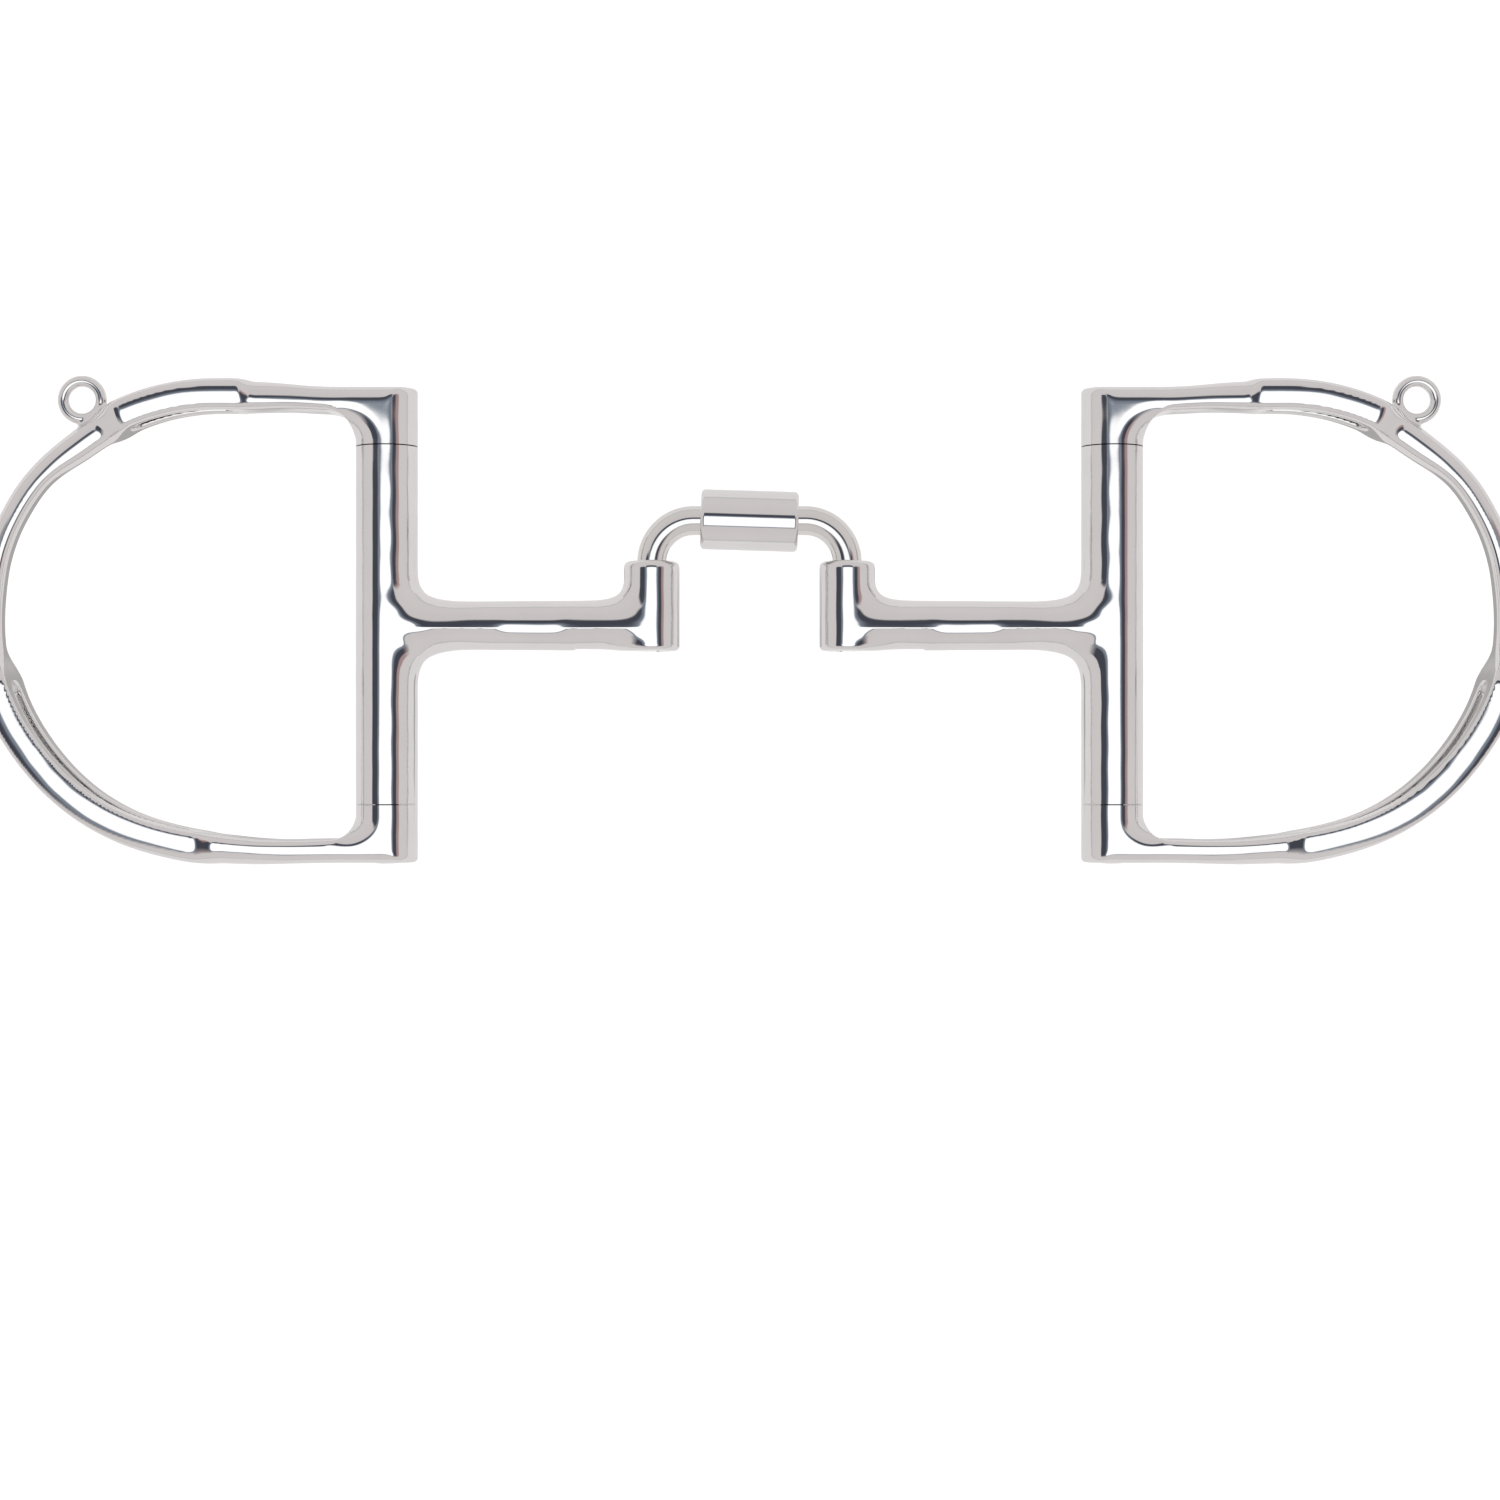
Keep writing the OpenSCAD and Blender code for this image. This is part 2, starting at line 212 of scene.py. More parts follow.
def contoured(fields, low, high, cell):
    """Vertices and quads of the solid's surface, in millimetres."""
    axes = [np.arange(l - BEFORE_BOX * cell, h + AFTER_BOX * cell, cell) for l, h in zip(low, high)]
    value = np.max(fields(*np.meshgrid(*axes, indexing="ij")), 0)
    inside = value < 0
    size = np.array(inside.shape) - 1
    count = sum(inside[tuple(slice(o, o + n) for o, n in zip(c, size))].astype(int) for c in CORNERS)
    cells = np.argwhere((count > 0) & (count < 8))
    origin = np.array([a[0] for a in axes])
    pull, against = np.zeros((len(cells), 3, 3)), np.zeros((len(cells), 3))
    middle, hits = np.zeros((len(cells), 3)), np.zeros(len(cells))
    crossings = []
    for a, b in EDGES:
        fa, fb = (value[tuple((cells + corner).T)] for corner in (a, b))
        at = np.flatnonzero((fa < 0) != (fb < 0))
        share = fa[at] / (fa[at] - fb[at])
        place = origin + cell * (cells[at] + a + share[:, None] * np.subtract(b, a))
        crossings.append((at, place))
        middle[at] += place
        hits[at] += 1
    middle /= hits[:, None]
    for at, place in crossings:
        off, direction = outermost(fields, place)
        place = place - off[:, None] * direction
        pull[at] += direction[:, :, None] * direction[:, None, :]
        against[at] += ((place - middle[at]) * direction).sum(1)[:, None] * direction
    pull += STEADY * hits[:, None, None] * np.eye(3)
    moved = np.linalg.solve(pull, against[:, :, None])[:, :, 0]
    points = middle + np.clip(moved, -cell, cell)
    number = np.full(size, -1)
    number[tuple(cells.T)] = np.arange(len(cells))
    return points, quads_between(inside, number, size)


# %% [markdown]
# ## Normals for a mirror
# Reflections follow the normals, not the vertices, so each corner of each face takes the field's
# own direction. At a crisp edge a corner takes the direction of the field its face belongs to: one
# that isn't buried in the metal there and points about the same way as the face. The left half of
# the bit mirrors the right one: its vertices and normals are mirrored as numbers and its faces
# turned round, so the objects themselves are never scaled by a negative number.

# %% Skin a solid
BURIED = 0.05
SAME_WAY = 0.6


def skinned(name, fields, low, high, cell, mirrored=False):
    """A mesh object of the solid in the fields."""
    cell = cell * 1
    points, quads = contoured(fields, low, high, cell)
    values, directions = np.array(fields(*points.T)), slopes(fields, points)
    if mirrored:
        points, directions, quads = points * (-1, 1, 1), directions * (-1, 1, 1), quads[:, ::-1]
    mesh = bpy.data.meshes.new(name)
    mesh.from_pydata(points * MM, [], quads.tolist())
    corner = quads.reshape(-1)
    a, b, c, d = (points[quads[:, n]] for n in range(4))
    facing = np.cross(c - a, d - b)
    facing = np.repeat(facing / np.maximum(np.linalg.norm(facing, axis=1)[:, None], 1e-9), 4, 0)
    buried = values[:, corner] < -BURIED * cell
    fit = np.where(buried, -1, (directions[:, corner] * facing).sum(-1))
    best = fit.argmax(0), np.arange(len(corner))
    shade = np.where(fit[best][:, None] > SAME_WAY, directions[best[0], corner], facing)
    mesh.shade_smooth()
    mesh.normals_split_custom_set(shade)
    piece = bpy.data.objects.new(name, mesh)
    bpy.context.scene.collection.objects.link(piece)
    print(f"{name}: {len(points)} vertices, {len(quads)} faces")
    return piece


# %% [markdown]
# ## Cheek barrel, arm and socket
# One casting makes each half of the mouthpiece. The barrel is the long sleeve beside the horse's
# lips, which turns on a pin between the ring's knuckles. A short round arm leaves its middle and
# ends in an upright socket for the port's leg. The three are joined with fillets, then the pin
# hole, the leg's hole and the counterbore in the socket's foot are cut crisply. Grinding has left
# shallow facets along the arm, and a slight swelling in the corner above it, at the barrel.

# %% Arm sizes
BARREL_R = (arm_high[2] - arm_low[2]) / 2
BARREL_HALF = (arm_high[1] - arm_low[1]) / 2
ARM_R_AT_SOCKET, ARM_R_AT_BARREL = 4.9, 4.55
ARM_MID, WAIST, ARM_CREST = 41.5, 4.6, 0.12
SOCKET_R, SOCKET_TOP, SOCKET_FOOT, SOCKET_SIDE = 5.35, 12.3, -4.8, 8
MOUTH_RIM, FOOT_RIM = 1.4, 1.0
# Distances from the arm's middle over which it grows deeper, and the facets come and go
DEEPER_TO_SOCKET, DEEPER_TO_BARREL = (2, 17), (4, 22)
GROUND_START, GROUND_END, UNDER_END = (3.5, 8.5), (19, 25), (15, 23)
# How flat the facets are above and below, and how round the line where two crowns meet is
GROUND_SHARE, UNDER_SHARE, ABOVE_POWER, GROUND_POWER = 0.17, 0.5, 2.5, 0.7
CREST_ROUND, ARM_ROUND, SOCKET_ROUND, SOCKET_ROUND_BELOW, CREST_SPAN = 0.7, 1.5, 0.9, 0.6, 2.4
SWELL, SWELL_R, SWELL_IN, SWELL_UP = 0.3, 2.6, 3.6, 3.8
hinge_x, leg_x = pin_mid[0], plug_mid[0]
pin_r, rod_r = (pin_high[0] - pin_low[0]) / 2, 2.8
LEG_FIT, PIN_FIT, PIN_SEAT = 0.1, 0.08, 0.02
COUNTERBORE_R, COUNTERBORE_TOP = 4.1, -1.45
ARM_CELL = 0.4
print("hinge and leg from the middle, mm:", round(hinge_x, 2), round(leg_x, 2))


# %% Arm fields
def hand_polish(x, y, z, depth=0.008):
    """The slight waves that a polishing wheel leaves, a few millimetres long."""
    return depth * (np.sin(0.61 * x + 1.7 * np.sin(0.23 * y)) * np.sin(0.47 * y + 1.3 + 0.31 * z)
                    + np.sin(0.83 * z + 0.29 * x - 0.71 * y))


def arm_depth(x):
    """Half the arm's depth: deep where it leaves barrel and socket, waisted between them."""
    at_socket, at_barrel = ramp(ARM_MID - x, *DEEPER_TO_SOCKET), ramp(x - ARM_MID, *DEEPER_TO_BARREL)
    return WAIST + (SOCKET_R - WAIST) * at_socket + (BARREL_R - WAIST) * at_barrel


def beside_arm_axis(x, y):
    """0 along the arm's crown and 1 at its edges above and below, with the ground facets between."""
    share = np.clip((x - leg_x) / (hinge_x - BARREL_R - leg_x), 0, 1)
    beside = y / (ARM_R_AT_SOCKET + (ARM_R_AT_BARREL - ARM_R_AT_SOCKET) * share) + ARM_CREST
    above, below = np.maximum(beside, 0) / (1 + ARM_CREST), np.maximum(-beside, 0) / (1 - ARM_CREST)
    from_mid = np.abs(x - ARM_MID)
    ground = ramp(from_mid, *GROUND_START) * (1 - ramp(from_mid, *GROUND_END))
    under = UNDER_SHARE * ground * (1 - ramp(from_mid, *UNDER_END))
    over, power = GROUND_SHARE * ground, ABOVE_POWER + GROUND_POWER * ground
    return np.sqrt(over * above + (1 - over) * above ** power + under * below + (1 - under) * below ** 2)


def arm_fields(x, y, z):
    """The arm casting: its polished skin, then the crisp cuts at its ends and in its bores."""
    y, z = y - axis_y, z - axis_z
    beside_arm = beside_arm_axis(x, y)
    to_barrel, to_socket = (hinge_x - x) / BARREL_R, (x - leg_x) / SOCKET_R
    nearest = np.where(x > ARM_MID, to_barrel, to_socket)
    toward = np.clip(beside_arm + nearest, 0, CREST_SPAN) / CREST_SPAN
    socket_round = np.where(y > 0, 1, SOCKET_ROUND_BELOW) * SOCKET_ROUND
    reach = CREST_ROUND + np.where(x > ARM_MID, ARM_ROUND, socket_round) * toward
    aside = np.where(nearest > 0, np.maximum(crossing(beside_arm, nearest, reach), 0), -nearest)
    casting = (length(aside, z / arm_depth(x)) - 1) * SOCKET_R
    socket = kept(kept(casting, y - SOCKET_TOP, MOUTH_RIM), SOCKET_FOOT - y, FOOT_RIM)
    casting = np.where(x < ARM_MID - SOCKET_SIDE, socket, casting)
    from_swell = length(x - hinge_x + SWELL_IN, y - SWELL_UP)
    casting = casting - SWELL * np.exp(-(from_swell / SWELL_R) ** 2)
    barrel_ends = np.where(x > ARM_MID, np.abs(y) - BARREL_HALF, UNCUT)
    from_hinge, from_leg = length(x - hinge_x, z), length(x - leg_x, z)
    bores = np.minimum(from_leg - rod_r - LEG_FIT,
                       np.maximum(from_leg - COUNTERBORE_R, y - COUNTERBORE_TOP))
    pin_hole = from_hinge - pin_r - PIN_FIT
    return [casting + hand_polish(x, y, z), barrel_ends, -bores, -pin_hole]


# %% Make both arms
right_arm = skinned("right_arm_cast", arm_fields, arm_low, arm_high, ARM_CELL)
left_arm = skinned("left_arm_cast", arm_fields, arm_low, arm_high, ARM_CELL, mirrored=True)

# %% [markdown]
# ## The dee ring
# The ring is a bow with two straight bars. Its section is nearly round where the ring is plain and
# widens to a flat band where a slot takes a strap: a short one at the top for the cheekpiece and a
# long one below for the rein. The field is easiest to write in the ring's own coordinates: an angle
# from the top of the bow, the depth below its outer face, and the distance from its middle plane.
# The bars count as angles before 0 and past 180 degrees. Hand work shows too: the bow bulges a
# little in its upper half, is tucked in a little in its lower half, and swells inwards behind the
# curb loop.

# %% Ring sizes
BOW_R = 46.3
bow_x, bow_y = ring_high[0] - BOW_R, (ring_high[1] + ring_low[1]) / 2
KNUCKLE_IN, KNUCKLE_OUT, PIN_TOP = 34.23, 45.45, 43.95
KNUCKLE_REACH, BARREL_ROOM = 12, 14
UPPER_GAP, LOWER_GAP, SLOT_RIM = 4.6, 5.6, 0.7
UPPER_CORNER, LOWER_CORNER, ELBOW_ROUND = 5.8, 4.4, 1.2
BULGE, TUCK, BOSS = 0.6, 0.6, 1.3
# Thickness in the ring's plane, and half the depth across it
BAR_FACE = 45.3
PLAIN_T, SLOT_T, BAR_T, FLAT_THINNER = 5.1, 5.9, 4.5, 0.3
BOW_HALF, UPPER_BAR_HALF, LOWER_BAR_HALF = 2.9, 4.8, 5.6
UPPER_HALF, LOWER_HALF = 5.8, 7.3
# How far inwards of the section's middle the crown is highest, and how the crown's radius grows
BAR_CREST, BOW_CREST, UPPER_CREST, LOWER_CREST, LOWER_CREST_END = 0.75, 0.9, -0.3, 0.6, 1.1
PLAIN_CROWN_R, SLOT_CROWN, FLAT_CROWN = 5.0, 4, 2
# Rims are wider where the ring is plain, and narrower where it is slotted, flat or a bar
OUTER_RIM, PLAIN_OUTER, FLAT_OUTER, BAR_OUTER, BAR_RIM_HALF = 1.7, 0.7, 0.8, 0.7, 4
KNUCKLE_RIM, INNER_RIM, PLAIN_INNER, SLOT_INNER, FLAT_INNER = 0.1, 1.1, 0.4, 0.2, 0.6
PAST_KNUCKLE = (5, 13)
RING_CELL = 0.42
print("bow centre, mm:", round(bow_x, 2), round(bow_y, 2))
print("ring depth, mm:", round(ring_high[2] - ring_low[2], 2))

# %% Where the ring changes, in degrees from the top of the bow
UPPER_SLOT, LOWER_SLOT, BETWEEN_SLOTS = (-4, 24), (106, 173), 65
# Where the slotted bands widen and narrow, thicken and thin, and where the lower one is flat
UPPER_RISE, UPPER_FALL = (-9.5, -4.5), (23, 33)
LOWER_RISE, LOWER_FALL = (95, 107), (173, 182)
UPPER_THICKER, LOWER_THINNER = (-24, -4), (173, 193)
FLAT_END, LOWER_CREST_RISE = (140, 172), (128, 172)
# Where the marks of hand work rise and fall: the bulge, the tuck and the swelling at the curb loop
BULGE_RISE, BULGE_FALL = (35, 58), (64, 90)
TUCK_RISE, TUCK_FALL = (96, 136), (162, 190)
BOSS_RISE, BOSS_FALL = (22, 31), (34, 54)
# On the bars, in degrees past the end of the bow
BAR_FACE_EASE, BAR_START, UPPER_FLARE, LOWER_FLARE = (0, 30), (2, 20), (4, 33), (0, 33)


# %% Along the ring
def ring_place(x, y):
    """Angle from the top of the bow in degrees, and depth below the ring's outer face."""
    across, up = x - bow_x, y - bow_y
    bar_angle = np.degrees(np.arctan2(np.maximum(-across, 0), BOW_R))
    angle = np.where(across > 0, np.degrees(np.arctan2(np.maximum(across, 0), up)),
                     np.where(up > 0, -bar_angle, 180 + bar_angle))
    bar_face = BAR_FACE + np.where(up > 0, axis_y - bow_y, bow_y - axis_y)
    face = BOW_R + (bar_face - BOW_R) * ramp(bar_angle, *BAR_FACE_EASE)
    depth = np.where(across > 0, BOW_R - length(across, up), face - np.abs(up))
    bulge = BULGE * ramp(angle, *BULGE_RISE) * (1 - ramp(angle, *BULGE_FALL))
    tuck = TUCK * ramp(angle, *TUCK_RISE) * (1 - ramp(angle, *TUCK_FALL))
    return angle, depth + bulge - tuck


def half_depth(angle):
    """Half the ring's size across its plane, and how far it is a slotted band there."""
    upper_bar = UPPER_BAR_HALF + (BARREL_R - UPPER_BAR_HALF) * ramp(-angle, *UPPER_FLARE)
    lower_bar = LOWER_BAR_HALF + (BARREL_R - LOWER_BAR_HALF) * ramp(angle - 180, *LOWER_FLARE)
    upper_rise, upper_fall = ramp(angle, *UPPER_RISE), ramp(angle, *UPPER_FALL)
    lower_rise, lower_fall = ramp(angle, *LOWER_RISE), ramp(angle, *LOWER_FALL)
    half = upper_bar + (UPPER_HALF - upper_bar) * upper_rise
    half = half + (BOW_HALF - UPPER_HALF) * upper_fall
    half = half + (LOWER_HALF - BOW_HALF) * lower_rise
    return half + (lower_bar - LOWER_HALF) * lower_fall, upper_rise - upper_fall + lower_rise - lower_fall


def kinds(angle, slotted):
    """How far the ring is a bar, plain, and a flat band there, each from 0 to 1."""
    bar = np.where(angle < 90, ramp(-angle, *BAR_START), ramp(angle - 180, *BAR_START))
    flat = slotted * (angle > BETWEEN_SLOTS) * (1 - ramp(angle, *FLAT_END))
    return bar, 1 - np.maximum(slotted, bar), flat


def thickness(angle, slotted, bar, flat):
    """The ring's size in its plane, and the part of it that is the swelling at the curb loop."""
    past_slot = np.where(angle > LOWER_THINNER[0], 1 - ramp(angle, *LOWER_THINNER), slotted)
    swelling = np.where(angle < 0, ramp(angle, *UPPER_THICKER), past_slot)
    boss = BOSS * ramp(angle, *BOSS_RISE) * (1 - ramp(angle, *BOSS_FALL))
    thick = PLAIN_T + (SLOT_T - PLAIN_T) * swelling - (PLAIN_T - BAR_T) * bar + boss
    return thick - FLAT_THINNER * flat, boss


def crown_crest(angle, slotted, plain):
    """How far inwards of the section's middle the crown is highest."""
    crest = BOW_CREST * plain + BAR_CREST * (1 - plain)
    lower_crest = LOWER_CREST + (LOWER_CREST_END - LOWER_CREST) * ramp(angle, *LOWER_CREST_RISE)
    return crest + (np.where(angle < BETWEEN_SLOTS, UPPER_CREST, lower_crest) - crest) * slotted


# %% Ring fields
def round_elbow(from_crest, from_hinge, bar_side, barrel_side):
    """Distance from the crest where a bar turns into its knuckle, round on both sides of the turn."""
    to_bar, to_barrel = np.maximum(bar_side - from_crest, 0), np.maximum(barrel_side + from_hinge, 0)
    from_corner = np.maximum(length(to_bar, to_barrel), NOT_ZERO)
    web = bar_side + (barrel_side - bar_side) * (to_barrel / from_corner) ** 2 - from_corner
    nearest = crossing(from_crest, -from_hinge, ELBOW_ROUND)
    return crossing(nearest, 0, ELBOW_ROUND) - crossing(-web, 0, ELBOW_ROUND)


def ring_fields(x, y, z):
    """The ring casting: its polished skin, then the cuts past its ends, for the barrel and the pin."""
    up, z = y - axis_y, z - axis_z
    angle, depth = ring_place(x, y)
    half_z, slotted = half_depth(angle)
    bar, plain, flat = kinds(angle, slotted)
    thick, boss = thickness(angle, slotted, bar, flat)
    crown_r = BARREL_R + (PLAIN_CROWN_R - BARREL_R) * plain + SLOT_CROWN * slotted + FLAT_CROWN * flat
    crest = crown_crest(angle, slotted, plain)
    from_crest = depth - (thick - boss) / 2 - crest
    from_hinge = hinge_x - x
    corner = np.where(up > 0, UPPER_CORNER, LOWER_CORNER)
    elbow = round_elbow(from_crest, from_hinge, thick / 2 - crest + corner, BARREL_R + corner)
    aside = np.where(bar > 0, elbow, from_crest)
    front = length(aside, np.abs(z) + crown_r - half_z) - crown_r
    outer_rim = (OUTER_RIM + PLAIN_OUTER * plain - FLAT_OUTER * flat
                 - BAR_OUTER * bar * ramp(-np.abs(z), -BAR_RIM_HALF, 0))
    inside_dee = joined(depth - thick, -from_hinge - BARREL_R, corner)
    inner_rim = INNER_RIM + PLAIN_INNER * plain - SLOT_INNER * slotted - FLAT_INNER * flat
    inner_rim = KNUCKLE_RIM + inner_rim * ramp(-from_hinge, *PAST_KNUCKLE)
    metal = kept(kept(front, -depth, outer_rim), inside_dee, inner_rim)
    mid_r = BOW_R - SLOT_T / 2
    for (start, end), gap in ((UPPER_SLOT, UPPER_GAP), (LOWER_SLOT, LOWER_GAP)):
        along = np.radians(angle - (start + end) / 2) * mid_r
        slit = capsule(along, z, math.radians(end - start) / 2 * mid_r, gap / 2)
        metal = kept(metal, -slit, SLOT_RIM)
    past_end = np.where(x < hinge_x + KNUCKLE_REACH, np.abs(up) - KNUCKLE_OUT, UNCUT)
    barrel_room = np.maximum(np.abs(up) - KNUCKLE_IN, x - hinge_x - BARREL_ROOM)
    pin_hole = np.maximum(length(from_hinge, z) - pin_r - PIN_SEAT, up - PIN_TOP)
    return [metal + hand_polish(x, y, z), past_end, -barrel_room, -pin_hole]


# %% Make both rings
right_ring = skinned("right_ring_cast", ring_fields, ring_low, ring_high, RING_CELL)
left_ring = skinned("left_ring_cast", ring_fields, ring_low, ring_high, RING_CELL, mirrored=True)

# %% [markdown]
# ## Curb loops
# A loop of round wire is welded on the upper shoulder of each bow, for the curb chain's hook. It
# is a torus, joined by a small fillet, the weld, to a copy of the bow's surface that lies just
# under the real one. Only the part near the loop is kept, so its hidden edge ends in the ring.

# %% Curb loop fields
# The loop's place in degrees from the top of the bow, then its sizes and its weld's
LOOP_AT, LOOP_WIRE_R, EYE_R, EYE_ABOVE_BOW = 31.5, 1.06, 2.55, 1.1
WELD_R, WELD_REACH, WELD_SUNK, WELD_SKIN = 1.3, 1.6, 0.02, 0.38
LOOP_MARGIN, LOOP_CELL = 2, 0.22
eye_reach = BOW_R + EYE_ABOVE_BOW + EYE_R
eye_x = bow_x + eye_reach * math.sin(math.radians(LOOP_AT))
eye_y = bow_y + eye_reach * math.cos(math.radians(LOOP_AT))
loop_box = loop_low - LOOP_MARGIN, loop_high + LOOP_MARGIN


def loop_fields(x, y, z):
    """The loop with its weld, then the cuts round it and under the thin skin it stands on."""
    wire = length(length(x - eye_x, y - eye_y) - EYE_R - LOOP_WIRE_R, z - axis_z) - LOOP_WIRE_R
    under = ring_fields(x, y, z)[0] + WELD_SUNK
    return [joined(wire, under, WELD_R), wire - WELD_REACH, -(under + WELD_SKIN)]


right_loop = skinned("right_curb_wire", loop_fields, *loop_box, LOOP_CELL)
left_loop = skinned("left_curb_wire", loop_fields, *loop_box, LOOP_CELL, mirrored=True)

# %% [markdown]
# ## Wires instead of node clicking
# Node trees are built in the script, for turned parts and for finishes. A small class wraps a
# node's output, so that 1 - mask adds a Math node, and one method adds any other node: it takes
# the node's type, its settings, and the values or wires of its sockets.

# %% Wires
class Wire:
    """A node's output that works in Python expressions."""

    def __init__(self, tree, socket):
        self.tree, self.socket = tree, socket

    def node(self, kind, settings={}, sockets={}, out=0):
        """Adds a node of that kind with its settings and sockets, and gives its output out."""
        made = self.tree.nodes.new(kind)
        for key, value in settings.items():
            if key == "stops":
                ramp_colours(made.color_ramp, value)
            else:
                setattr(made, key, value)
        for key, value in sockets.items():
            if isinstance(value, Wire):
                self.tree.links.new(value.socket, made.inputs[key])
            else:
                made.inputs[key].default_value = value
        return Wire(self.tree, made.outputs[out])

    def into(self, kind):
        """Ends the tree in a node of that kind, with this wire in its first socket."""
        self.tree.links.new(self.socket, self.tree.nodes.new(kind).inputs[0])

    def math(self, operation, *values):
        """Adds a Math node that works on the values or wires."""
        return self.node("ShaderNodeMath", {"operation": operation}, dict(enumerate(values)))

    def __add__(self, other):
        return self.math("ADD", self, other)

    def __sub__(self, other):
        return self.math("SUBTRACT", self, other)

    def __rsub__(self, other):
        return self.math("SUBTRACT", other, self)

    def __mul__(self, other):
        return self.math("MULTIPLY", self, other)

    def __truediv__(self, other):
        return self.math("DIVIDE", self, other)

    def __abs__(self):
        return self.math("ABSOLUTE", self)

    __radd__, __rmul__ = __add__, __mul__


def ramp_colours(colour_ramp, stops):
    """Gives a colour ramp its (position, colour) stops."""
    while len(colour_ramp.elements) < len(stops):
        colour_ramp.elements.new(1)
    for element, (position, colour) in zip(colour_ramp.elements, stops):
        element.position = position
        element.color = (*colour, 1)


# %% [markdown]
# ## Turned parts
# The roller, the hinge pins and the plugs are turned on a lathe: an outline goes round an axis.
# Geometry Nodes does just that. A four-cornered outline gets its corners rounded, and a circle
# carries it round. A solid part has its outline open at the axis, and merging the points there
# closes it. The two outer corners are rounded in full and the two at the bore by a quarter.
# Weighted normals then keep the long faces true right up to their rounded rims.

# %% Tree helpers
def new_tree(name, sizes):
    """A tree with a named input for each size, in metres, and one for the finish."""
    tree = bpy.data.node_groups.new(name, "GeometryNodeTree")
    tree.interface.new_socket("Geometry", in_out="OUTPUT", socket_type="NodeSocketGeometry")
    for size in sizes:
        tree.interface.new_socket(size, in_out="INPUT", socket_type="NodeSocketFloat")
    tree.interface.new_socket("Finish", in_out="INPUT", socket_type="NodeSocketMaterial")
    start = tree.nodes.new("NodeGroupInput")
    return [Wire(tree, socket) for socket in start.outputs if socket.name]


def end_tree(mesh, finish):
    """Shades the mesh smooth, makes instances real, and gives it its finish."""
    smooth = mesh.node("GeometryNodeSetShadeSmooth", {}, {"Geometry": mesh})
    real = smooth.node("GeometryNodeRealizeInstances", {}, {"Geometry": smooth})
    dressed = real.node("GeometryNodeSetMaterial", {}, {"Geometry": real, "Material": finish})
    dressed.into("NodeGroupOutput")


def point(x, y, z=0.0):
    """A place with those coordinates, of which x or y is a wire."""
    wire = x if isinstance(x, Wire) else y
    return wire.node("ShaderNodeCombineXYZ", {}, {0: x, 1: y, 2: z})


# %% Turning tree
TOUCHING = 1e-6
RIM_STEPS, ROUND_STEPS = 10, 128
BORE_SHARE = 0.25

outer_r, bore_r, long, rim, finish = new_tree("turning", ["Outer Radius", "Bore Radius", "Length", "Rim"])
turning = outer_r.tree
outline = outer_r.node("GeometryNodeCurvePrimitiveQuadrilateral", {"mode": "POINTS"}, {
    "Point 1": point(bore_r - outer_r, long * -0.5), "Point 2": point(outer_r * 0, long * -0.5),
    "Point 3": point(outer_r * 0, long * 0.5), "Point 4": point(bore_r - outer_r, long * 0.5)})
tube = bore_r.math("GREATER_THAN", bore_r, TOUCHING)
outline = outline.node("GeometryNodeSetSplineCyclic", {}, {"Geometry": outline, "Cyclic": tube})
corner = outline.node("GeometryNodeInputIndex")
rounding = rim * (BORE_SHARE + (1 - BORE_SHARE) / 2 * corner * (3 - corner))
outline = outline.node("GeometryNodeFilletCurve", {"mode": "POLY"}, {
    "Curve": outline, "Count": RIM_STEPS, "Radius": rounding, "Limit Radius": True})
round_path = outline.node("GeometryNodeCurvePrimitiveCircle", {"mode": "RADIUS"}, {
    "Resolution": ROUND_STEPS, "Radius": outer_r})
turned_mesh = outline.node("GeometryNodeCurveToMesh", {}, {"Curve": round_path, "Profile Curve": outline})
turned_mesh = outline.node("GeometryNodeMergeByDistance", {}, {
    "Geometry": turned_mesh, "Distance": TOUCHING})
end_tree(turned_mesh, finish)
print("turning tree:", len(turning.nodes), "nodes")


# %% Grow a piece from a tree
def grown(name, tree, values, finish, turn=np.eye(3), middle=(0, 0, 0)):
    """A plain mesh object made by a node tree, turned and moved to its place, in millimetres."""
    seed = bpy.data.objects.new(name + "_seed", bpy.data.meshes.new(name + "_seed"))
    bpy.context.scene.collection.objects.link(seed)
    modifier = seed.modifiers.new("tree", "NODES")
    modifier.node_group = tree
    for item in tree.interface.items_tree:
        if item.in_out == "INPUT":
            modifier[item.identifier] = finish if item.name == "Finish" else values[item.name] * MM
    seed.modifiers.new("true faces", "WEIGHTED_NORMAL").keep_sharp = True
    made = bpy.data.meshes.new_from_object(seed.evaluated_get(bpy.context.evaluated_depsgraph_get()))
    bpy.data.objects.remove(seed)
    shade = np.zeros(len(made.loops) * 3)
    made.loops.foreach_get("normal", shade)
    place = np.zeros(len(made.vertices) * 3)
    made.vertices.foreach_get("co", place)
    made.vertices.foreach_set("co", (place.reshape(-1, 3) @ turn.T + np.array(middle) * MM).ravel())
    made.normals_split_custom_set(shade.reshape(-1, 3) @ turn.T)
    made.name = name
    piece = bpy.data.objects.new(name, made)
    bpy.context.scene.collection.objects.link(piece)
    print(f"{name}: {len(made.vertices)} vertices, {len(made.polygons)} faces")
    return piece
